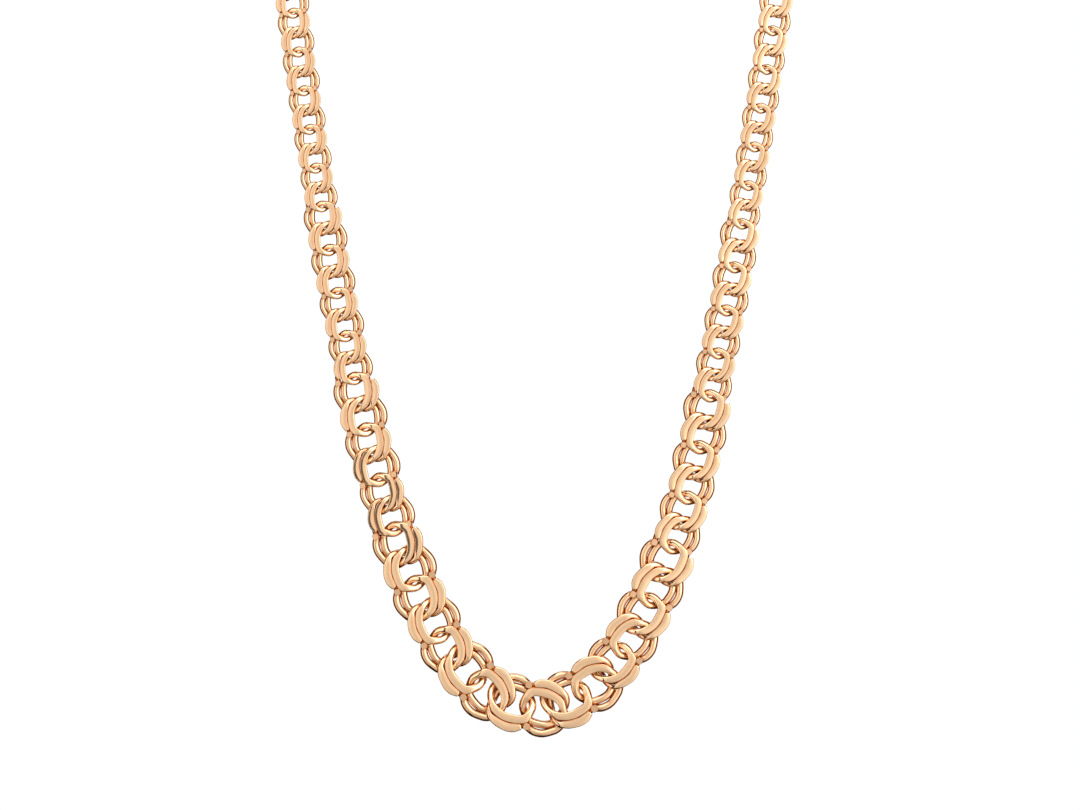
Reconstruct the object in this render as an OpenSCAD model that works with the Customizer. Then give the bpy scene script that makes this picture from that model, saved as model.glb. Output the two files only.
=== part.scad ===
// A graduated neck chain of soldered pairs of coiled links, hung as it is worn.
// Millimetres. X runs across, Y runs back, Z runs up, and the links face forward.
// The origin is at the nape, in the middle of the clasp.

/* [Links] */

// Width of the widest pairs, at the middle of the front
link_width = 11.3; // [11:0.1:11.6]

// Length along the chain of one of the widest pairs
pair_length = 11.95; // [11.75:0.05:12.1]

// Diameter of the wire of the widest pairs
wire_d = 1.36; // [1.2:0.02:1.38]

// Thickness from the filed front to the filed back of the widest pairs
link_thickness = 3.1; // [2.9:0.02:3.2]

/* [Clasp] */

// Length of the clasp's plain body between its eyes
clasp_length = 13.4; // [10:0.2:18]

// Width of the clasp's plain body
clasp_width = 6; // [4:0.25:8]

// Thickness of the clasp's plain body
clasp_thickness = 2.4; // [1.6:0.1:3.2]

// Diameter of the wire of the clasp's two eyes
eye_wire_d = 0.8; // [0.6:0.05:0.9]

// Room between each eye and the wires that it goes round
eye_gap = 0.15; // [0.1:0.05:0.3]

/* [Hidden] */

$fn = 48;

// Pairs on each side of the one at the middle of the front
pairs_each_side = 30;

// How the links grow toward the front.
// Columns: links of this size on each side of the middle, then share of link_width,
// share of pair_length, share of wire_d and of link_thickness.
SIZES = [
    [ 3, 1.000, 1.000, 1.000],
    [ 5, 0.930, 0.930, 0.930],
    [ 6, 0.810, 0.835, 0.820],
    [ 8, 0.665, 0.705, 0.700],
    [47, 0.565, 0.630, 0.565]
];

// The half of one coiled link, from its soldered start behind to beside its single end.
// The other half is this one turned over about the line of the chain.
// Columns: along as a share of pair_length, across as a share of link_width,
// forward as a share of wire_d.
HALF_LINK = [
    [-0.260, -0.375,  0.100],
    [ 0.115, -0.439, -0.883],
    [ 0.368, -0.194, -0.477],
    [ 0.288,  0.141,  1.040],
    [ 0.054,  0.309,  0.900],
    [-0.304,  0.171,  0.643]
];

// Where the link's front end runs into the start of the other link of its pair
FRONT_END = [-0.300, 0.385, 0.450];

// From a link's middle to the middle of its pair, as a share of pair_length
link_offset = 0.2575;

// Flats around the wire
flats = 5;

// The route of the chain's middle line, once round from the clasp, before it is scaled
// to the length of the links. Its long front stretch hangs in one upright plane.
// Columns: across, back, up, and how far the links' faces have turned from forward to up.
ROUTE = [
    [   0.0,   0.0,    0.0,   90],
    [ -15.3,   0.0,    0.0,   90],
    [ -30.7,   0.0,    0.0,   90],
    [ -41.7,  -2.9,    0.0,   90],
    [ -49.7, -11.0,    0.0,   90],
    [ -52.7, -22.0,    0.0,   90],
    [ -52.3, -34.2,   -2.4, 67.5],
    [ -51.3, -44.6,   -9.4,   45],
    [ -49.7, -51.6,  -19.8, 22.5],
    [ -47.8, -54.0,  -32.0,    0],
    [ -45.6, -54.0,  -48.1,    0],
    [ -43.1, -54.0,  -64.3,    0],
    [ -40.5, -54.0,  -80.5,    0],
    [ -37.3, -54.0,  -96.5,    0],
    [ -34.0, -54.0, -112.6,    0],
    [ -30.0, -54.0, -127.4,    0],
    [ -25.8, -54.0, -140.3,    0],
    [ -20.9, -54.0, -151.2,    0],
    [ -15.6, -54.0, -160.0,    0],
    [  -9.6, -54.0, -166.0,    0],
    [  -2.5, -54.0, -168.8,    0],
    [   5.2, -54.0, -167.6,    0],
    [  12.0, -54.0, -162.6,    0],
    [  17.7, -54.0, -154.8,    0],
    [  22.7, -54.0, -144.6,    0],
    [  27.3, -54.0, -131.9,    0],
    [  31.0, -54.0, -116.9,    0],
    [  34.1, -54.0, -100.9,    0],
    [  37.2, -54.0,  -84.8,    0],
    [  39.9, -54.0,  -68.7,    0],
    [  42.5, -54.0,  -52.5,    0],
    [  45.6, -54.0,  -31.7,    0],
    [  47.0, -51.6,  -19.8, 22.5],
    [  48.3, -44.6,   -9.4,   45],
    [  49.1, -34.2,   -2.4, 67.5],
    [  49.3, -22.0,    0.0,   90],
    [  46.4, -11.0,    0.0,   90],
    [  38.3,  -2.9,    0.0,   90],
    [  27.3,   0.0,    0.0,   90],
    [  13.7,   0.0,    0.0,   90],
    [   0.0,   0.0,    0.0,   90]
];

// Where the middle of the front lies, as a share of the route's length
middle_share = 0.5001;

// Steps that smooth the route between two of its points
steps = 8;

// A pair that turns by hinge_turn from end to end sits closer by this share of its length
hinge_turn = 38;
hinge_squeeze = 0.033;

// Sizes of one link: width, length, wire and thickness
function size_row(rank, row = 0) =
    rank < SIZES[row][0] || row == len(SIZES) - 1 ? SIZES[row]
                                                  : size_row(rank - SIZES[row][0], row + 1);
function link_size(rank) =
    let (row = size_row(rank))
    [row[1] * link_width, row[2] * pair_length, row[3] * wire_d, row[3] * link_thickness];

// Pair 0 is the middle of the front. A pair's first link is the one met first on the route.
function first_size(pair) = link_size(pair > 0 ? 2 * pair - 1 : -2 * pair);
function second_size(pair) = link_size(pair < 0 ? -2 * pair - 1 : 2 * pair);
function length_of(pair) = (first_size(pair)[1] + second_size(pair)[1]) / 2;

// The smoothed route as lookup tables of distance against each column
function between(a, b, c, d, t) =
    (2 * b + (c - a) * t + (2 * a - 5 * b + 4 * c - d) * t * t
     + (3 * b - a - 3 * c + d) * t * t * t) / 2;
rows = len(ROUTE);
function knot(i) =
    i < 0 ? 2 * ROUTE[0] - ROUTE[1]
          : i >= rows ? 2 * ROUTE[rows - 1] - ROUTE[rows - 2] : ROUTE[i];
LINE = concat(
    [for (i = [0 : rows - 2]) for (k = [0 : steps - 1])
        between(knot(i - 1), knot(i), knot(i + 1), knot(i + 2), k / steps)],
    [ROUTE[rows - 1]]
);
function place(row) = [row.x, row.y, row.z];
DISTANCE = [
    for (i = 0, s = 0; i < len(LINE); i = i + 1,
         s = i < len(LINE) ? s + norm(place(LINE[i]) - place(LINE[i - 1])) : s) s
];
LENGTHS = [for (pair = [-pairs_each_side : pairs_each_side]) length_of(pair)];
links_length = LENGTHS * [for (length = LENGTHS) 1];

// Each eye goes round the end pair's double wires, just past that pair's end
end_wire = link_size(2 * pairs_each_side)[2];
eye_r = 1.3 * end_wire + eye_gap + eye_wire_d / 2;
eye_past_end = 0.55 * end_wire;
clasp_span = clasp_length + 2 * (eye_r + eye_past_end);

route_length = links_length + clasp_span;
fit = route_length / DISTANCE[len(LINE) - 1];
TABLES = [
    for (k = [0 : 3])
        [for (i = [0 : len(LINE) - 1]) [DISTANCE[i] * fit, LINE[i][k] * (k < 3 ? fit : 1)]]
];
front_middle = route_length * middle_share;
function on_route(s) = [for (k = [0 : 2]) lookup(s, TABLES[k])];
function face_turn(s) = lookup(s, TABLES[3]);
function unit(v) = v / norm(v);
function heading(s) = unit(on_route(s + 1.5) - on_route(s - 1.5));

// The distance on the route of the point that lies a straight length from the one at s
function stride(s, length, way, tries = 3, step = 0) =
    let (far = step == 0 ? length : step)
    tries == 0 ? s + way * far
               : stride(s, length, way, tries - 1,
                        far * length / norm(on_route(s + way * far) - on_route(s)));
function squeezed(s, length, way) =
    let (turn = acos(min(1, heading(s) * heading(s + way * length))))
    length * (1 - hinge_squeeze * pow(turn / hinge_turn, 2));
function next_joint(s, pair, way) = stride(s, squeezed(s, length_of(pair), way), way);

// Distances on the route of the joints between the pairs, outward from the front
middle_half = squeezed(front_middle - length_of(0) / 2, length_of(0), 1) / 2;
TO_LEFT = [
    for (pair = 0, s = stride(front_middle, middle_half, -1); pair <= pairs_each_side;
         pair = pair + 1, s = pair <= pairs_each_side ? next_joint(s, -pair, -1) : s) s
];
TO_RIGHT = [
    for (pair = 0, s = stride(front_middle, middle_half, 1); pair <= pairs_each_side;
         pair = pair + 1, s = pair <= pairs_each_side ? next_joint(s, pair, 1) : s) s
];
function first_joint(pair) = pair > 0 ? TO_RIGHT[pair - 1] : TO_LEFT[-pair];
function second_joint(pair) = pair < 0 ? TO_LEFT[-pair - 1] : TO_RIGHT[pair];

// Puts a pair, drawn along X with its face up Z, at its place on the route
module at_place(origin, along, turn) {
    lean = [0, -cos(turn), sin(turn)];
    face = unit(lean - (lean * along) * along);
    side = cross(face, along);
    multmatrix([
        [along.x, side.x, face.x, origin.x],
        [along.y, side.y, face.y, origin.y],
        [along.z, side.z, face.z, origin.z]
    ])
        children();
}

function turned_over(p) = [p.x, -p.y, -p.z];
half = len(HALF_LINK);
LINK = concat(
    HALF_LINK, [for (i = [1 : half - 1]) turned_over(HALF_LINK[half - i])], [FRONT_END]
);
last = len(LINK) - 1;
function link_point(size, i) =
    [(LINK[i].x + link_offset) * size[1], LINK[i].y * size[0], LINK[i].z * size[2]];

// One corner of the wire, held between the filed front and back
function corner(size, i, k) =
    let (
        p = link_point(size, i),
        before = i > 0 ? unit(p - link_point(size, i - 1)) : [0, 0, 0],
        after = i < last ? unit(link_point(size, i + 1) - p) : [0, 0, 0],
        along = unit(before + after),
        out = unit([0, 0, 1] - along.z * along),
        side = cross(out, along),
        turn = 90 + (k + 0.5) * 360 / flats,
        q = p + size[2] / 2 * (cos(turn) * side + sin(turn) * out)
    )
    [q.x, q.y, max(-size[3] / 2, min(size[3] / 2, q.z))];

// A coiled link, as the second one of its pair
module link(size) {
    polyhedron(
        points = [for (i = [0 : last]) for (k = [0 : flats - 1]) corner(size, i, k)],
        faces = concat(
            [[for (k = [0 : flats - 1]) k]],
            [for (i = [0 : last - 1]) for (k = [0 : flats - 1])
                let (a = i * flats + k, b = i * flats + (k + 1) % flats)
                [b, a, a + flats, b + flats]],
            [[for (k = [1 : flats]) last * flats + flats - k]]
        )
    );
}

module soldered_pair(first, second) {
    link(second);
    rotate([0, 0, 180]) link(first);
}

module pairs(from, to) {
    for (pair = [from : to]) {
        a = on_route(first_joint(pair));
        b = on_route(second_joint(pair));
        share = first_size(pair)[1] / (first_size(pair)[1] + second_size(pair)[1]);
        turn = (face_turn(first_joint(pair)) + face_turn(second_joint(pair))) / 2;
        at_place(a + (b - a) * share, unit(b - a), turn)
            soldered_pair(first_size(pair), second_size(pair));
    }
}

module links_left() {
    color("peru") pairs(-pairs_each_side, 0);
}

module links_right() {
    color("burlywood") pairs(1, pairs_each_side);
}

// A plain body with an eye round each end pair's double wires
module clasp() {
    right_end = on_route(second_joint(pairs_each_side));
    left_end = on_route(first_joint(-pairs_each_side));
    body_half = (right_end.x - left_end.x) / 2 - eye_past_end - eye_r;
    rounding = min(clasp_width, 2 * body_half) / 5;
    color("goldenrod")
        translate((left_end + right_end) / 2) {
            for (side = [-1, 1])
                translate([side * (body_half + eye_r), 0, 0])
                    rotate([90, 0, 0])
                        rotate_extrude()
                            translate([eye_r, 0])
                                circle(d = eye_wire_d);
            translate([0, 0, -clasp_thickness / 2])
                linear_extrude(clasp_thickness) {
                    square([2 * body_half, clasp_width - 2 * rounding], center = true);
                    square([2 * body_half - 2 * rounding, clasp_width], center = true);
                    for (x = [-1, 1], y = [-1, 1])
                        translate([x * (body_half - rounding), y * (clasp_width / 2 - rounding)])
                            circle(r = rounding);
                }
        }
}

links_left();
links_right();
clasp();
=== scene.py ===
import math
import random

import bmesh
import bpy
from mathutils import Matrix, Quaternion, Vector


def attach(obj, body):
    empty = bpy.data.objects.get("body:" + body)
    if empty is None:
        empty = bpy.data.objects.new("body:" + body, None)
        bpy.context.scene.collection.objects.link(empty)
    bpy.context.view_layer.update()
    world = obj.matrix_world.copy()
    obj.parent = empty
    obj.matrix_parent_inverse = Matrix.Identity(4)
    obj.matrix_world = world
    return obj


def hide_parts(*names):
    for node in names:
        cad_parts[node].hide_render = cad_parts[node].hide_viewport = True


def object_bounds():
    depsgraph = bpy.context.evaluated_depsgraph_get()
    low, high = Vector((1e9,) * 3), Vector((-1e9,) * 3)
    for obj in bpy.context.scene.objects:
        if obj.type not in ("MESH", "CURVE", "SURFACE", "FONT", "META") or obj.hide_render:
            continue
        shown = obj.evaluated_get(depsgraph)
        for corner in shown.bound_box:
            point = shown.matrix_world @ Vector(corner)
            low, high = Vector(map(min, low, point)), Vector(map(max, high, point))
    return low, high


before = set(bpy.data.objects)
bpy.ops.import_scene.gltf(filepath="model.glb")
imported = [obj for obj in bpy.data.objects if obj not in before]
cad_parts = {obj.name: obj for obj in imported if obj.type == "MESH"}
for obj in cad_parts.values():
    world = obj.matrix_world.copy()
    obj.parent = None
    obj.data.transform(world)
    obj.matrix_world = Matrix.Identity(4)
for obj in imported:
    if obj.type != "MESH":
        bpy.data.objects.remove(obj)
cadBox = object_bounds()
print("frame loaded")

mm = 0.001

# One widest link, full size, in millimetres
link = {
    "width": 11.3,
    "pairLength": 11.95,
    "wire": 1.80,
    "spread": 1.3,  # what the forward shares below are taken of
    "crest": 1.3,  # the wire's middle line comes no further forward than this
    "thickness": 3.0,  # between the filed front and the filed back
    "dome": 0.045,  # how much the filed bands are left rounded by the polishing
    "fileRim": 0.06,  # rounding worn onto the filed edges
    "fileFlat": 0.88,  # share of a filed band inside its worn, sloping edges
    "fileLeast": 0.35,  # radians, half of the arc that the narrowest band takes
    "offset": 0.2575,  # link's middle to its pair's middle, share of pairLength
    "steps": 6,  # smoothing steps between two rows of the coil
    "rings": 74,  # wire sections along one link
    "sideSteps": 4,  # faces down each round side of the wire
    "endRim": 0.22,  # rounding of the wire's two ends
    "endSteps": ((0, 1), (0.3, 0.3), (1, 0)),  # shares of endRim, along and off the radius
    "creviceFrom": 0.55,  # mm to the next wire, where the painted crevice shade begins
    "creviceTo": 0.0,
    "ownRings": 9,  # sections each way that aren't another stretch of wire
    "behind": 0.35,  # painted shade on the stretches behind, where 1 is a crevice's
    "behindFrom": 0.3,  # height where that begins, whole 1 mm further back
}

# The filed stub on a link's start, in millimetres
stub = {
    "radius": 0.68,
    "corners": 12,
    "square": 0.7,  # 1 is round, and less is squarer
    "inward": 0.03,
    "onward": 0.05,
    "edge": 0.06,
    "edgeShare": 0.92,  # radius of its top, inside the worn edge
    "darkened": 0.2,  # how far its top is darkened toward the painted shade colour, on the same scale as a link's painted shade behind
}

# The solder behind the cut end, which joins it to the stub
solder = {
    "radius": 0.66,
    "sides": 8,
    "inward": 0.15,
    "heights": (0.2, 0.4),  # at its two ends
    "past": 0.1,  # share of pairLength, past the other link's start
}

# The middle line of one coiled link's wire, from its start behind to its cut end in
# front. along as a share of pairLength, across of width, forward of spread, thick of wire
coil = [
    (-0.240, -0.358, -0.600, 0.80),  # the outer stretch behind
    (-0.121, -0.430, -0.644, 0.88),
    (0.034, -0.445, -0.686, 0.89),
    (0.207, -0.376, -0.750, 0.89),
    (0.265, -0.332, -0.725, 0.88),
    (0.327, -0.244, -0.530, 0.85),  # forward round the double end
    (0.352, -0.140, -0.185, 0.83),
    (0.344, -0.069, 0.188, 0.81),
    (0.336, -0.024, 0.440, 0.80),
    (0.293, 0.071, 0.700, 0.83),  # the inner stretch in front
    (0.253, 0.129, 0.780, 0.88),
    (0.155, 0.203, 0.770, 0.94),
    (0.026, 0.244, 0.750, 1.00),
    (-0.172, 0.253, 0.740, 1.00),
    (-0.262, 0.196, 0.680, 0.96),
    (-0.338, 0.000, 0.000, 0.86),  # back round the single end
    (-0.258, -0.190, -0.706, 0.89),  # the inner stretch behind
    (-0.172, -0.264, -0.783, 0.89),
    (0.026, -0.298, -0.779, 0.89),
    (0.155, -0.258, -0.928, 0.89),
    (0.254, -0.167, -1.068, 0.89),
    (0.282, -0.101, -1.026, 0.87),
    (0.332, 0.031, -0.500, 0.83),  # forward round the double end again
    (0.344, 0.069, -0.188, 0.81),
    (0.352, 0.140, 0.185, 0.81),
    (0.326, 0.238, 0.480, 0.83),
    (0.254, 0.293, 0.680, 0.90),  # the outer stretch in front
    (0.202, 0.332, 0.740, 0.95),
    (0.034, 0.398, 0.750, 1.00),
    (-0.100, 0.392, 0.750, 0.98),
    (-0.186, 0.362, 0.740, 0.78),
]

# The run of links. Columns of sizes: how many links of this size follow each other
# on each side, from the middle outward, then share of width, share of pairLength,
# and share of wire and thickness
chain = {
    "pairsEachSide": 30,
    "sizes": [
        (3, 1.000, 1.000, 1.000),
        (5, 0.930, 0.930, 0.930),
        (6, 0.810, 0.835, 0.820),
        (8, 0.665, 0.705, 0.700),
        (47, 0.565, 0.630, 0.565),
    ],
    "routeLength": 529.64,
    "middleShare": 0.5001,  # where the middle pair is, as a share of the route
    "steps": 8,  # smoothing steps between two points of the route
    "headingReach": 1.5,  # mm each way, over which the route's heading is taken
    "strideRounds": 3,  # rounds that fit a pair's straight length onto the route
    "hingeTurn": 38,  # degrees of turn from a pair to the next
    "hingeSqueeze": 0.033,  # share of its length that a pair gives up at that turn
    "sway": 2.4,  # degrees, how unevenly the pairs face the front
    "swaySeed": 100,
    "lean": 3.0,  # degrees, the strands face outward as they lie on a chest
    "leanFrom": 4,  # pairs from the middle, where the lean is whole
    "rolled": {-5: 6.5, -4: 8.5},  # degrees, pairs that face more to the left
}

# Middle line of the chain, once round from the clasp, in millimetres:
# across, back, up, and how far the links' faces have turned from forward to up
route = [
    (0.0, 0.0, 0.0, 90),
    (-15.3, 0.0, 0.0, 90),
    (-30.7, 0.0, 0.0, 90),
    (-41.7, -2.9, 0.0, 90),
    (-49.7, -11.0, 0.0, 90),
    (-52.7, -22.0, 0.0, 90),
    (-52.3, -34.2, -2.4, 67.5),
    (-51.3, -44.6, -9.4, 45),
    (-49.7, -51.6, -19.8, 22.5),
    (-47.8, -54.0, -32.0, 0),
    (-45.6, -54.0, -48.1, 0),
    (-43.1, -54.0, -64.3, 0),
    (-40.5, -54.0, -80.5, 0),
    (-37.3, -54.0, -96.5, 0),
    (-34.0, -54.0, -112.6, 0),
    (-30.0, -54.0, -127.4, 0),
    (-25.8, -54.0, -140.3, 0),
    (-20.9, -54.0, -151.2, 0),
    (-15.6, -54.0, -160.0, 0),
    (-9.6, -54.0, -166.0, 0),
    (-2.5, -54.0, -168.8, 0),
    (5.2, -54.0, -167.6, 0),
    (12.0, -54.0, -162.6, 0),
    (17.7, -54.0, -154.8, 0),
    (22.7, -54.0, -144.6, 0),
    (27.3, -54.0, -131.9, 0),
    (31.0, -54.0, -116.9, 0),
    (34.1, -54.0, -100.9, 0),
    (37.2, -54.0, -84.8, 0),
    (39.9, -54.0, -68.7, 0),
    (42.5, -54.0, -52.5, 0),
    (45.6, -54.0, -31.7, 0),
    (47.0, -51.6, -19.8, 22.5),
    (48.3, -44.6, -9.4, 45),
    (49.1, -34.2, -2.4, 67.5),
    (49.3, -22.0, 0.0, 90),
    (46.4, -11.0, 0.0, 90),
    (38.3, -2.9, 0.0, 90),
    (27.3, 0.0, 0.0, 90),
    (13.7, 0.0, 0.0, 90),
    (0.0, 0.0, 0.0, 90),
]

# The plain clasp at the nape, in millimetres
clasp = {
    "width": 6.0,
    "thickness": 2.4,
    "corner": 1.2,
    "cornerSteps": 6,
    "edge": 0.35,
    "edgeSteps": 4,
    "sharp": 1.2,  # radians, edges that turn more than this are rounded
    "eyeWire": 0.8,
    "eyeHole": 1.3,  # its radius, as a share of the end links' wire
    "eyeGap": 0.15,
    "eyePastEnd": 0.55,  # share of the end links' wire
    "eyeRings": 48,
    "eyeSides": 12,
}


def linear(hexColour):
    values = [int(hexColour[i : i + 2], 16) / 255 for i in (1, 3, 5)]
    return [v / 12.92 if v <= 0.04045 else ((v + 0.055) / 1.055) ** 2.4 for v in values] + [1.0]


def addNode(tree, kind, settings=None, inputs=None, links=None):
    node = tree.nodes.new(kind)
    for name, value in (settings or {}).items():
        setattr(node, name, value)
    for name, value in (inputs or {}).items():
        node.inputs[name].default_value = value
    for name, socket in (links or {}).items():
        tree.links.new(socket, node.inputs[name])
    return node


# Smooth line through points of any number of columns
def smoothLine(points, steps):
    columns = range(len(points[0]))
    first = [2 * points[0][k] - points[1][k] for k in columns]
    last = [2 * points[-1][k] - points[-2][k] for k in columns]
    padded = [first, *points, last]
    line = []
    for i in range(1, len(padded) - 2):
        a, b, c, d = padded[i - 1 : i + 3]
        for s in range(steps):
            t = s / steps
            line.append([
                (2 * b[k] + (c[k] - a[k]) * t + (2 * a[k] - 5 * b[k] + 4 * c[k] - d[k]) * t * t
                 + (3 * b[k] - a[k] - 3 * c[k] + d[k]) * t**3) / 2
                for k in columns
            ])
    line.append(list(points[-1]))
    return line


# A line that can be asked for its columns at a distance along it
class Track:
    def __init__(self, line, length=None):
        self.at = [0.0]
        for p, q in zip(line, line[1:]):
            self.at.append(self.at[-1] + (Vector(q[:3]) - Vector(p[:3])).length)
        scale = length / self.at[-1] if length else 1
        self.at = [s * scale for s in self.at]
        self.line = [[v * scale for v in p[:3]] + list(p[3:]) for p in line]
        self.length = self.at[-1]

    def row(self, s):
        s = min(max(s, 0), self.length)
        low, high = 0, len(self.at) - 1
        while high - low > 1:
            middle = (low + high) // 2
            if self.at[middle] <= s:
                low = middle
            else:
                high = middle
        t = (s - self.at[low]) / (self.at[high] - self.at[low])
        return [p + (q - p) * t for p, q in zip(self.line[low], self.line[high])]

    def point(self, s):
        return Vector(self.row(s)[:3])

    def heading(self, s):
        reach = chain["headingReach"]
        return (self.point(s + reach) - self.point(s - reach)).normalized()


# Scale of a link along, across and forward, by its rank from the middle outward
def linkSize(rank):
    for count, width, pitch, wire in chain["sizes"]:
        if rank < count:
            return (pitch, width, wire)
        rank -= count
    return (pitch, width, wire)


# The same for a pair's first link, the one nearer to the route's start, and its second
def firstSize(pair):
    return linkSize(2 * pair - 1 if pair > 0 else -2 * pair)


def secondSize(pair):
    return linkSize(-2 * pair - 1 if pair < 0 else 2 * pair)


def lengthOf(pair):
    return (firstSize(pair)[0] + secondSize(pair)[0]) / 2 * link["pairLength"]


# Distances along the track of every joint between two pairs
def findJoints(track):
    def stride(s, length, way):
        far = length
        for _ in range(chain["strideRounds"]):
            far *= length / (track.point(s + way * far) - track.point(s)).length
        return s + way * far

    def squeezed(s, length, way):
        turn = math.degrees(track.heading(s).angle(track.heading(s + way * length)))
        return length * (1 - chain["hingeSqueeze"] * (turn / chain["hingeTurn"]) ** 2)

    middle = track.length * chain["middleShare"]
    length = lengthOf(0)
    half = squeezed(middle - length / 2, length, 1) / 2
    joints = {0: (stride(middle, half, -1), stride(middle, half, 1))}
    for pair in range(1, chain["pairsEachSide"] + 1):
        s = joints[pair - 1][1]
        joints[pair] = (s, stride(s, squeezed(s, lengthOf(pair), 1), 1))
        s = joints[1 - pair][0]
        joints[-pair] = (stride(s, squeezed(s, lengthOf(pair), -1), -1), s)
    return joints


# Two rows for each pair, one for each of its links: place, heading, facing, size
def placeLinks(track, joints, pairs):
    rows = []
    for pair in pairs:
        a, b = joints[pair]
        first, second = firstSize(pair), secondSize(pair)
        start, end = track.point(a), track.point(b)
        along = (end - start).normalized()
        turn = math.radians((track.row(a)[3] + track.row(b)[3]) / 2)
        lean = Vector((0, -math.cos(turn), math.sin(turn)))
        face = (lean - lean.dot(along) * along).normalized()
        chance = random.Random(chain["swaySeed"] + pair)
        roll = chain["lean"] * min(abs(pair) / chain["leanFrom"], 1) + chain["rolled"].get(pair, 0)
        roll += chance.uniform(-1, 1) * chain["sway"]
        face.rotate(Quaternion(along, math.radians(roll)))
        place = start + (end - start) * first[0] / (first[0] + second[0])
        rows.append((place, along, face, second))
        rows.append((place, -along, face, first))
    return rows


# The wire's middle line in one full-size link, in even steps, and its radius there
def wireLine():
    rows = [
        ((x + link["offset"]) * link["pairLength"], y * link["width"],
         max(-link["crest"], min(link["crest"], z * link["spread"])), thick * link["wire"] / 2)
        for x, y, z, thick in smoothLine(coil, link["steps"])
    ]
    track = Track(rows)
    rows = [track.row(track.length * i / (link["rings"] - 1)) for i in range(link["rings"])]
    return [Vector(row[:3]) for row in rows], [row[3] for row in rows]


# Each section's first and last corner of the filed front, and of the filed back
flatCorners = ((0, 4), (link["sideSteps"] + 6, link["sideSteps"] + 8))


# One section of the wire: a circle cut level at the filed front and back, with a
# slightly rounded front. Corners run across the front and round to its start again
def addSection(mesh, centre, along, radius, top):
    up = (Vector((0, 0, 1)) - along.z * along).normalized()
    side = up.cross(along)
    rim = link["fileRim"] / radius
    least = radius * math.cos(link["fileLeast"])

    def cut(height):
        return max(math.acos(min(max(height / radius, -1), 1)), link["fileLeast"])

    front = (top - centre.z) / up.z
    back = (top + centre.z) / up.z
    wideFront, wideBack = cut(front), cut(back)
    spots = []
    for t in (-1, -0.5, 0, 0.5, 1):
        v = radius * math.sin(wideFront) * link["fileFlat"] * t
        spots.append((min(math.sqrt(radius**2 - v**2), front - link["dome"] * t * t), v))
    first, last = wideFront + rim, math.pi - wideBack - rim
    steps = link["sideSteps"]
    arc = [first + (last - first) * i / steps for i in range(steps + 1)]
    spots += [(radius * math.cos(a), radius * math.sin(a)) for a in arc]
    for t in (1, 0, -1):
        v = radius * math.sin(wideBack) * t
        spots.append((-min(math.sqrt(radius**2 - v**2), back), v))
    spots += [(radius * math.cos(a), -radius * math.sin(a)) for a in reversed(arc)]
    corners = [mesh.verts.new(centre + u * up + v * side) for u, v in spots]
    return corners, (front < least, back < least)


# A round ring of corners that stands across a line
def addRing(mesh, centre, along, radius, sides):
    up = (Vector((0, 0, 1)) - along.z * along).normalized()
    side = up.cross(along)
    ring = []
    for k in range(sides):
        angle = 2 * math.pi * (k + 0.5) / sides
        ring.append(mesh.verts.new(centre + radius * (math.cos(angle) * side + math.sin(angle) * up)))
    return ring


# The faces between two rings
def bridge(mesh, ring, after):
    count = len(ring)
    return [
        mesh.faces.new((ring[k], ring[(k + 1) % count], after[(k + 1) % count], after[k]))
        for k in range(count)
    ]


def headingsOf(line):
    return [
        (line[min(i + 1, len(line) - 1)] - line[max(i - 1, 0)]).normalized()
        for i in range(len(line))
    ]


# Painted shade: how dark a place on the wire is painted for lying in a crevice: 0 in the open,
# 1 where it meets another stretch of its own link, the pair's other link or the stub, and part of the
# way on the stretches behind
def paintedShadeShare(place, line, radii, station):
    beside = line[0].xy + Vector((stub["onward"], math.copysign(stub["inward"], -line[0].y)))
    gap = (place.xy - beside).length - stub["radius"]
    for i, (point, radius) in enumerate(zip(line, radii)):
        if abs(i - station) > link["ownRings"]:
            gap = min(gap, (place - point).length - radius)
        other = Vector((-point.x, -point.y, point.z))
        gap = min(gap, (place - other).length - radius)
    share = (link["creviceFrom"] - gap) / (link["creviceFrom"] - link["creviceTo"])
    # painted shade on the stretches behind, darker further back
    behind = link["behind"] * min(max(link["behindFrom"] - place.z, 0), 1)
    return min(max(share, behind), 1)


# The coiled wire, filed where it stands past the front and the back, its ends rounded
def addCoil(mesh, line, radii, filed, paintedDarkening):
    top = link["thickness"] / 2
    headings = headingsOf(line)
    rim = link["endRim"]
    stations = []
    for inset, off in link["endSteps"]:
        stations.append((line[0] + headings[0] * inset * rim, headings[0], radii[0] - off * rim))
    stations += list(zip(line, headings, radii))[2:-2]  # the rims take two rows at each end
    for inset, off in reversed(link["endSteps"]):
        stations.append((line[-1] - headings[-1] * inset * rim, headings[-1], radii[-1] - off * rim))
    sections = [addSection(mesh, *station, top) for station in stations]
    for (ring, flats), (after, flatsAfter) in zip(sections, sections[1:]):
        faces = bridge(mesh, ring, after)
        for (first, last), flat, flatAfter in zip(flatCorners, flats, flatsAfter):
            if flat and flatAfter:
                for face in faces[first:last]:
                    face[filed] = 1
                for k in (first, last):
                    mesh.edges.get((ring[k], after[k])).smooth = False
    mesh.faces.new(list(reversed(sections[0][0])))
    mesh.faces.new(sections[-1][0])
    # painted shade set on every corner, from how near it lies to other wire
    for i, (ring, _) in enumerate(sections):
        for corner in ring:
            corner[paintedDarkening] = paintedShadeShare(corner.co, line, radii, i)


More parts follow.
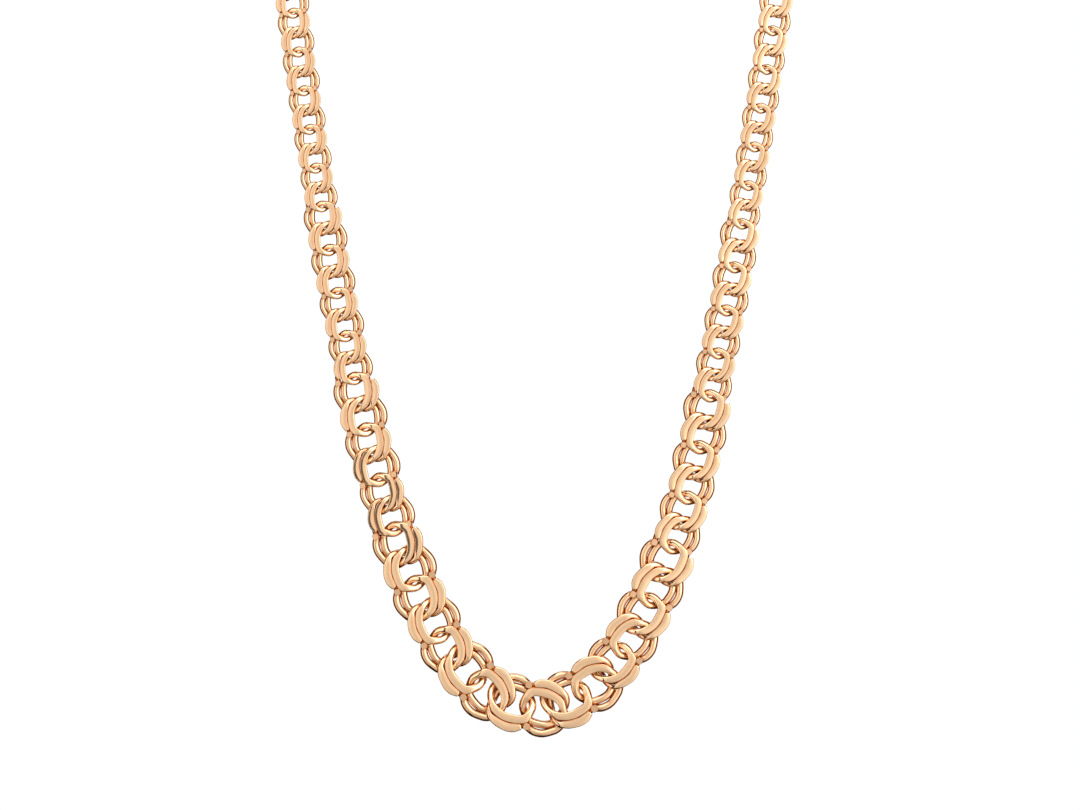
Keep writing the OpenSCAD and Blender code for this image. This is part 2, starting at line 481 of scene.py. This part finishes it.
# The filed stub that stands on a link's start, and the solder beside it, which
# holds the other link's cut end and leaves a dark nick in front
def addStub(mesh, start, top, paintedDarkening):
    inward = math.copysign(stub["inward"], -start.y)
    rings = []
    for height, share in ((start.z, 1), (0, 1), (top - stub["edge"], 1), (top, stub["edgeShare"])):
        ring = []
        for k in range(stub["corners"]):
            angle = 2 * math.pi * k / stub["corners"]
            x, y = [math.copysign(abs(v) ** stub["square"], v) for v in (math.cos(angle), math.sin(angle))]
            ring.append(mesh.verts.new((
                start.x + stub["onward"] + x * stub["radius"] * share,
                start.y + inward + y * stub["radius"] * share,
                height,
            )))
        rings.append(ring)
    for ring, after in zip(rings, rings[1:]):
        bridge(mesh, ring, after)
    mesh.faces.new(list(reversed(rings[0])))
    lid = mesh.faces.new(rings[-1])
    for edge in lid.edges:
        edge.smooth = False
    # its top is darkened part of the way toward the painted shade colour
    for corner in rings[-1]:
        corner[paintedDarkening] = stub["darkened"]
    inner = start.y + math.copysign(solder["inward"], -start.y)
    near = Vector((start.x, inner, solder["heights"][0]))
    far = Vector((-start.x - solder["past"] * link["pairLength"], inner, solder["heights"][1]))
    along = (far - near).normalized()
    ends = [addRing(mesh, place, along, solder["radius"], solder["sides"]) for place in (near, far)]
    bridge(mesh, *ends)
    mesh.faces.new(list(reversed(ends[0])))
    mesh.faces.new(ends[1])
    # the solder is darkened fully to the painted shade colour
    for corner in ends[0] + ends[1]:
        corner[paintedDarkening] = 1


# One full-size link with its stub and solder, its pair's middle at the origin
def linkMesh():
    mesh = bmesh.new()
    filed = mesh.faces.layers.float.new("filed")
    paintedDarkening = mesh.verts.layers.float.new("paintedDarkening")
    line, radii = wireLine()
    addCoil(mesh, line, radii, filed, paintedDarkening)
    addStub(mesh, line[0], link["thickness"] / 2, paintedDarkening)
    bmesh.ops.recalc_face_normals(mesh, faces=mesh.faces[:])
    for face in mesh.faces:
        face.smooth = True
    data = bpy.data.meshes.new("link")
    mesh.to_mesh(data)
    mesh.free()
    data.transform(Matrix.Scale(mm, 4))
    return data


# Rose gold, 18 carat, wire drawn, filed and polished: pale peach flats, orange where
# one wire mirrors another, and brown painted shade in the crevices and on the stretches behind
finish = {
    "colour": "#EBC8A3",
    # the colour that the painted shade darkens toward
    "paintedShadeColour": "#A4581C",
    "rubs": 0.7,  # per mm, uneven rubbing of the polish, drawn as coarse as it shows
    "rough": (0.06, 0.13),
    "filedRough": 0.05,  # more on the filed flats
    "dents": 0.26,  # per mm, slight waves that the filing and soldering leave
    "dentDepth": 0.1,  # mm
    "dentStrength": 0.5,
}


def roseGold():
    material = bpy.data.materials.new("polished rose gold")
    material.use_nodes = True
    tree = material.node_tree
    shader = tree.nodes["Principled BSDF"]
    shader.inputs["Metallic"].default_value = 1
    place = addNode(tree, "ShaderNodeTexCoord").outputs["Object"]
    filed = addNode(tree, "ShaderNodeAttribute", {"attribute_name": "filed"}).outputs["Fac"]
    paintedDarkening = addNode(tree, "ShaderNodeAttribute", {"attribute_name": "paintedDarkening"}).outputs["Fac"]
    unfiled = addNode(tree, "ShaderNodeMath", {"operation": "SUBTRACT"}, {0: 1}, {1: filed})
    # painted shade: the darkening is mixed into the colour everywhere but on the filed flats
    darkened = addNode(tree, "ShaderNodeMath", {"operation": "MULTIPLY"},
                   links={0: paintedDarkening, 1: unfiled.outputs["Value"]})
    colour = addNode(tree, "ShaderNodeMix", {"data_type": "RGBA"},
                     {"A": linear(finish["colour"]), "B": linear(finish["paintedShadeColour"])},
                     {"Factor": darkened.outputs["Value"]})
    tree.links.new(colour.outputs["Result"], shader.inputs["Base Color"])
    rubs = addNode(tree, "ShaderNodeTexNoise", inputs={"Scale": finish["rubs"] / mm, "Detail": 3},
                   links={"Vector": place})
    rough = addNode(tree, "ShaderNodeMapRange",
                    inputs={"To Min": finish["rough"][0], "To Max": finish["rough"][1]},
                    links={"Value": rubs.outputs["Fac"]})
    rougher = addNode(tree, "ShaderNodeMath", {"operation": "MULTIPLY_ADD"}, {1: finish["filedRough"]},
                      {0: filed, 2: rough.outputs["Result"]})
    tree.links.new(rougher.outputs["Value"], shader.inputs["Roughness"])
    dents = addNode(tree, "ShaderNodeTexNoise", inputs={"Scale": finish["dents"] / mm, "Detail": 2},
                    links={"Vector": place})
    bump = addNode(tree, "ShaderNodeBump",
                   inputs={"Strength": finish["dentStrength"], "Distance": finish["dentDepth"] * mm},
                   links={"Height": dents.outputs["Fac"]})
    tree.links.new(bump.outputs["Normal"], shader.inputs["Normal"])
    return material


# Geometry Nodes: one link stood on every point, turned and sized by the point
def linkTree():
    tree = bpy.data.node_groups.new("links along a chain", "GeometryNodeTree")
    for name, kind in (("Points", "NodeSocketGeometry"), ("Link", "NodeSocketObject"),
                       ("Metal", "NodeSocketMaterial")):
        tree.interface.new_socket(name, in_out="INPUT", socket_type=kind)
    tree.interface.new_socket("Chain", in_out="OUTPUT", socket_type="NodeSocketGeometry")
    given = addNode(tree, "NodeGroupInput").outputs
    kept = {
        name: addNode(tree, "GeometryNodeInputNamedAttribute", {"data_type": "FLOAT_VECTOR"},
                      {"Name": name}).outputs["Attribute"]
        for name in ("heading", "facing", "size")
    }
    turn = addNode(tree, "FunctionNodeAxesToRotation", {"primary_axis": "X", "secondary_axis": "Z"},
                   links={"Primary Axis": kept["heading"], "Secondary Axis": kept["facing"]})
    shape = addNode(tree, "GeometryNodeObjectInfo", inputs={"As Instance": True},
                    links={"Object": given["Link"]})
    stood = addNode(tree, "GeometryNodeInstanceOnPoints",
                    links={"Points": given["Points"], "Instance": shape.outputs["Geometry"],
                           "Rotation": turn.outputs["Rotation"], "Scale": kept["size"]})
    real = addNode(tree, "GeometryNodeRealizeInstances", links={"Geometry": stood.outputs["Instances"]})
    metal = addNode(tree, "GeometryNodeSetMaterial",
                    links={"Geometry": real.outputs["Geometry"], "Material": given["Metal"]})
    addNode(tree, "NodeGroupOutput", links={"Chain": metal.outputs["Geometry"]})
    return tree


# One run of links, made by the tree and kept as a plain mesh in place of its node
def buildRun(name, node, rows, tree, master, metal):
    points = bpy.data.meshes.new(name + "Points")
    points.from_pydata([row[0] * mm for row in rows], [], [])
    for column, label in enumerate(("heading", "facing", "size"), 1):
        layer = points.attributes.new(label, "FLOAT_VECTOR", "POINT")
        for i, row in enumerate(rows):
            layer.data[i].vector = row[column]
    carrier = bpy.data.objects.new(name + "Carrier", points)
    bpy.context.scene.collection.objects.link(carrier)
    modifier = carrier.modifiers.new("links", "NODES")
    modifier.node_group = tree
    sockets = {item.name: item.identifier for item in tree.interface.items_tree}
    modifier[sockets["Link"]] = master
    modifier[sockets["Metal"]] = metal
    depsgraph = bpy.context.evaluated_depsgraph_get()
    data = bpy.data.meshes.new_from_object(carrier.evaluated_get(depsgraph), depsgraph=depsgraph)
    bpy.data.objects.remove(carrier)
    piece = bpy.data.objects.new(name, data)
    bpy.context.scene.collection.objects.link(piece)
    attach(piece, "root")
    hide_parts(node)
    print(name, len(rows), "links,", sum(len(p.vertices) - 2 for p in data.polygons), "triangles")


def buildClasp(track, joints, metal):
    last = chain["pairsEachSide"]
    endWire = linkSize(2 * last)[2] * link["wire"]
    eyeRadius = clasp["eyeHole"] * endWire + clasp["eyeGap"] + clasp["eyeWire"] / 2
    left = track.point(joints[-last][0])
    right = track.point(joints[last][1])
    half = (right.x - left.x) / 2 - clasp["eyePastEnd"] * endWire - eyeRadius
    mesh = bmesh.new()
    bmesh.ops.create_cube(mesh, size=1)
    bmesh.ops.scale(mesh, vec=(2 * half, clasp["width"], clasp["thickness"]), verts=mesh.verts[:])
    upright = [e for e in mesh.edges if abs(e.verts[0].co.z - e.verts[1].co.z) > clasp["thickness"] / 2]
    bmesh.ops.bevel(mesh, geom=upright, offset=clasp["corner"], segments=clasp["cornerSteps"],
                    profile=0.5, affect="EDGES")
    rims = [e for e in mesh.edges if e.calc_face_angle(0) > clasp["sharp"]]
    bmesh.ops.bevel(mesh, geom=rims, offset=clasp["edge"], segments=clasp["edgeSteps"],
                    profile=0.5, affect="EDGES")
    for side in (-1, 1):
        centre = Vector((side * (half + eyeRadius), 0, 0))
        rings = []
        for i in range(clasp["eyeRings"]):
            angle = 2 * math.pi * i / clasp["eyeRings"]
            outward = Vector((math.cos(angle), 0, math.sin(angle)))
            ring = []
            for k in range(clasp["eyeSides"]):
                turn = 2 * math.pi * k / clasp["eyeSides"]
                offset = math.cos(turn) * outward + math.sin(turn) * Vector((0, 1, 0))
                ring.append(mesh.verts.new(
                    centre + outward * eyeRadius + offset * clasp["eyeWire"] / 2))
            rings.append(ring)
        for i, ring in enumerate(rings):
            bridge(mesh, ring, rings[(i + 1) % len(rings)])
    bmesh.ops.recalc_face_normals(mesh, faces=mesh.faces[:])
    for face in mesh.faces:
        face.smooth = True
    data = bpy.data.meshes.new("clasp")
    mesh.to_mesh(data)
    mesh.free()
    data.transform(Matrix.Scale(mm, 4) @ Matrix.Translation((left + right) / 2))
    data.materials.append(metal)
    piece = bpy.data.objects.new("claspPiece", data)
    bpy.context.scene.collection.objects.link(piece)
    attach(piece, "root")
    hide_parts("clasp")
    print("clasp built")


# The picture: 1080 by 810 pixels, 5.2 of them to a millimetre at the chain's front
picture = {
    "width": 1080,
    "height": 810,
    "pixelsPerMm": 5.2,
    "topHeight": -32.0,  # mm, height of the picture's upper edge at the chain's front
    "frontDepth": -54.0,
    "distance": 1000.0,
    "sensor": 36.0,
}


def addCamera():
    data = bpy.data.cameras.new("camera")
    span = picture["width"] / picture["pixelsPerMm"]
    data.sensor_width = picture["sensor"]
    data.lens = picture["sensor"] * picture["distance"] / span
    camera = bpy.data.objects.new("camera", data)
    bpy.context.scene.collection.objects.link(camera)
    middle = picture["topHeight"] - picture["height"] / picture["pixelsPerMm"] / 2
    camera.location = Vector((0, picture["frontDepth"] - picture["distance"], middle)) * mm
    camera.rotation_euler = (math.radians(90), 0, 0)
    bpy.context.scene.camera = camera


# A round pale floor, not seen in the picture itself but from other sides
studio = {"floorBelow": 90.0, "floorRadius": 850.0, "floorCorners": 96}


def addFloor():
    low = cadBox[0][2] - studio["floorBelow"] * mm
    reach = studio["floorRadius"] * mm
    verts = []
    for i in range(studio["floorCorners"]):
        angle = 2 * math.pi * i / studio["floorCorners"]
        verts.append((math.cos(angle) * reach, math.sin(angle) * reach, low))
    data = bpy.data.meshes.new("floor")
    data.from_pydata(verts, [], [range(len(verts))])
    material = bpy.data.materials.new("white studio paper")
    material.use_nodes = True
    shader = material.node_tree.nodes["Principled BSDF"]
    shader.inputs["Base Color"].default_value = linear("#FDFDFD")
    shader.inputs["Roughness"].default_value = 0.9
    data.materials.append(material)
    floor = bpy.data.objects.new("floor", data)
    bpy.context.scene.collection.objects.link(floor)
    floor.visible_glossy = False  # the metal mirrors the tent alone


# Soft boxes in millimetres. The brightness is that of the lit sheet itself,
# where 1 is white: it is what the polished metal shows
lights = [
    {"name": "key", "at": (600, -760, 130), "size": (480, 820), "bright": 1.75, "aim": (0, -54, -110)},
    {"name": "top", "at": (-120, -500, 620), "size": (900, 420), "bright": 1.75, "aim": (0, -54, -110)},
]

# The tent that the metal mirrors: pale cloth in front, brighter aside and to the upper
# right, with a dark slit left of the camera, two smaller cloths above and behind, and
# between them the dark warm room. The camera itself sees a white ground in its place
tent = {
    "colour": "#FFF8F0",
    "ahead": 0.88,  # brightness of the cloth straight ahead
    "side": 0.16,  # brightness at the sides and behind, where the cloth's is 1
    "sideColour": "#C27A33",
    "from": 0.05,  # how far forward the cloth starts, as a share of straight ahead
    "to": 0.45,
    "above": (0.72, 0.88),  # the same for the cloth above, and for the one behind
    "behind": (0.80, 0.90),
    "rightward": 0.35,
    "outward": 1.55,
    "upward": 0.60,
    "slit": 0.50,  # how far left of straight ahead
    "slitEdges": (0.051, 0.119),  # from its middle to where the cloth begins and is whole
    "slitDark": 0.04,
    "ground": "#FFFFFF",
    "groundBright": 1.02,
}


def addLights():
    for row in lights:
        data = bpy.data.lights.new(row["name"], "AREA")
        data.shape = "RECTANGLE"
        data.size, data.size_y = [side * mm for side in row["size"]]
        data.energy = row["bright"] * math.pi * data.size * data.size_y
        lamp = bpy.data.objects.new(row["name"], data)
        lamp.location = Vector(row["at"]) * mm
        aim = Vector(row["aim"]) * mm - lamp.location
        lamp.rotation_euler = aim.to_track_quat("-Z", "Y").to_euler()
        bpy.context.scene.collection.objects.link(lamp)


def addTent():
    world = bpy.data.worlds.new("tent")
    world.use_nodes = True
    tree = world.node_tree
    way = addNode(tree, "ShaderNodeTexCoord").outputs["Generated"]
    parts = addNode(tree, "ShaderNodeSeparateXYZ", links={"Vector": way}).outputs
    cloth = addNode(tree, "ShaderNodeMapRange", {"interpolation_type": "SMOOTHSTEP"},
                    {"From Min": -tent["from"], "From Max": -tent["to"]}, {"Value": parts["Y"]})
    for axis, side in (("Z", "above"), ("Y", "behind")):
        other = addNode(tree, "ShaderNodeMapRange", {"interpolation_type": "SMOOTHSTEP"},
                        {"From Min": tent[side][0], "From Max": tent[side][1]}, {"Value": parts[axis]})
        cloth = addNode(tree, "ShaderNodeMath", {"operation": "MAXIMUM"},
                        links={0: cloth.outputs[0], 1: other.outputs[0]})
    colour = addNode(tree, "ShaderNodeMix", {"data_type": "RGBA"},
                     {"A": linear(tent["sideColour"]), "B": linear(tent["colour"])},
                     {"Factor": cloth.outputs[0]})
    shade = addNode(tree, "ShaderNodeMapRange", inputs={"To Min": tent["side"], "To Max": 1},
                    links={"Value": cloth.outputs[0]})
    right = addNode(tree, "ShaderNodeMath", {"operation": "MULTIPLY_ADD"},
                    {1: tent["rightward"], 2: tent["ahead"]}, {0: parts["X"]})
    aside = addNode(tree, "ShaderNodeMath", {"operation": "ABSOLUTE"}, links={0: parts["X"]})
    out = addNode(tree, "ShaderNodeMath", {"operation": "MULTIPLY_ADD"},
                  {1: tent["outward"]}, {0: aside.outputs["Value"], 2: right.outputs["Value"]})
    up = addNode(tree, "ShaderNodeMath", {"operation": "MULTIPLY_ADD"},
                 {1: tent["upward"]}, {0: parts["Z"], 2: out.outputs["Value"]})
    off = addNode(tree, "ShaderNodeMath", {"operation": "ADD"}, {1: tent["slit"]}, {0: parts["X"]})
    away = addNode(tree, "ShaderNodeMath", {"operation": "ABSOLUTE"}, links={0: off.outputs["Value"]})
    slit = addNode(tree, "ShaderNodeMapRange", {"interpolation_type": "SMOOTHSTEP"},
                   {"From Min": tent["slitEdges"][0], "From Max": tent["slitEdges"][1],
                    "To Min": tent["slitDark"], "To Max": 1}, {"Value": away.outputs["Value"]})
    lit = addNode(tree, "ShaderNodeMath", {"operation": "MULTIPLY"},
                  links={0: shade.outputs["Result"], 1: up.outputs["Value"]})
    glow = addNode(tree, "ShaderNodeMath", {"operation": "MULTIPLY"},
                   links={0: lit.outputs["Value"], 1: slit.outputs["Result"]})
    mirrored = tree.nodes["Background"]
    tree.links.new(colour.outputs["Result"], mirrored.inputs["Color"])
    tree.links.new(glow.outputs["Value"], mirrored.inputs["Strength"])
    ground = addNode(tree, "ShaderNodeBackground",
                     inputs={"Color": linear(tent["ground"]), "Strength": tent["groundBright"]})
    seen = addNode(tree, "ShaderNodeLightPath").outputs["Is Camera Ray"]
    both = addNode(tree, "ShaderNodeMixShader",
                   links={0: seen, 1: mirrored.outputs[0], 2: ground.outputs[0]})
    tree.links.new(both.outputs[0], tree.nodes["World Output"].inputs["Surface"])
    bpy.context.scene.world = world
    bpy.context.scene.view_settings.view_transform = "Standard"


metal = roseGold()
track = Track(smoothLine(route, chain["steps"]), chain["routeLength"])
joints = findJoints(track)
ends = (joints[-chain["pairsEachSide"]][0], joints[chain["pairsEachSide"]][1])
print("route", round(track.length, 1), "mm, links from", round(ends[0], 2), "to", round(ends[1], 2))

master = bpy.data.objects.new("masterLink", linkMesh())
bpy.context.scene.collection.objects.link(master)
print("one link:", sum(len(p.vertices) - 2 for p in master.data.polygons), "triangles")
tree = linkTree()
leftRows = placeLinks(track, joints, range(-chain["pairsEachSide"], 1))
rightRows = placeLinks(track, joints, range(1, chain["pairsEachSide"] + 1))
buildRun("linksLeft", "links_left", leftRows, tree, master, metal)
buildRun("linksRight", "links_right", rightRows, tree, master, metal)
bpy.data.objects.remove(master)
buildClasp(track, joints, metal)
addCamera()
addFloor()
addLights()
addTent()
print("scene built")
